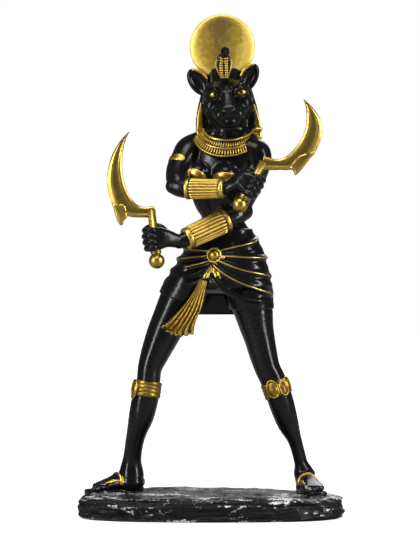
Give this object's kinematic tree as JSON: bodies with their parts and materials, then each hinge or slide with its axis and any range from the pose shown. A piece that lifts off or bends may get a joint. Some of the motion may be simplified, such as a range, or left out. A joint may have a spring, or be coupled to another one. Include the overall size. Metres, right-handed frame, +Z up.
{
  "type": "sekhmet statue",
  "caption": "Standing lioness-headed figure with a sun disc and a wrapped kilt, forearms crossed, a sickle sword in each fist, on an oblong rock base.",
  "frame": {"origin": "centre of the base's flat underside", "axes": "+Z up from the base to the sun disc, +X to the viewer's right, and the figure faces -Y"},
  "size_m": [0.155, 0.072, 0.29],
  "materials": {
    "black_resin": "glossy black paint on cast resin",
    "gold_paint": "antique gold paint with a dark wash in its recesses"
  },
  "bodies": {
    "root": {"statue": "black_resin", "khopesh_right": "gold_paint", "khopesh_left": "gold_paint"}
  },
  "joints": []
}
